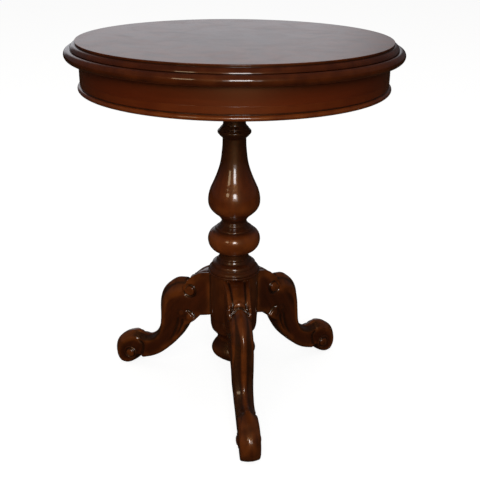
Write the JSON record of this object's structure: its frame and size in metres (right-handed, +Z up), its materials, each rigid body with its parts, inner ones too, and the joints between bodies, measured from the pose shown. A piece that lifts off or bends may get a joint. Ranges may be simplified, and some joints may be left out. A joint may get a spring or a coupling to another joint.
{
  "type": "pedestal side table",
  "caption": "Round pedestal side table with a moulded top on a deep frieze, a turned column, carved scroll legs and a turned drop finial.",
  "frame": {"origin": "on the floor, at the centre of the object's box, which is under the middle of the column", "axes": "+Z up along the column; the front leg points along -Y; +X to the right as seen from the front"},
  "size_m": [0.5999, 0.6, 0.715],
  "materials": {
    "top_veneer": "gloss lacquer over quartered mahogany veneer",
    "frieze_veneer": "gloss lacquer over mahogany veneer",
    "moulding": "gloss lacquer, dark in the quirks",
    "turned_wood": "gloss lacquer, dark in the quirks",
    "carved_wood": "gloss lacquer, dark in the carving",
    "core_board": "sanded, unpolished",
    "plain_wood": "sawn and planed, unpolished",
    "dowel_wood": "turned, unpolished",
    "screw_metal": "dull zinc"
  },
  "bodies": {
    "root": {"top_veneer": "top_veneer", "rim_moulding": "moulding", "apron_veneer": "frieze_veneer", "apron_base_moulding": "moulding", "column": "turned_wood", "leg_drum": "turned_wood", "drop_finial": "turned_wood", "front_leg": "carved_wood", "right_leg": "carved_wood", "left_leg": "carved_wood", "top_panel": "core_board", "apron_ring": "core_board", "glue_blocks": "plain_wood", "front_bearer": "plain_wood", "back_bearer": "plain_wood", "pillar_block": "plain_wood", "tenon_wedge": "dowel_wood", "pillar_block_screws": "screw_metal", "bearer_screws": "screw_metal", "front_leg_dowels": "dowel_wood", "right_leg_dowels": "dowel_wood", "left_leg_dowels": "dowel_wood"}
  },
  "joints": []
}
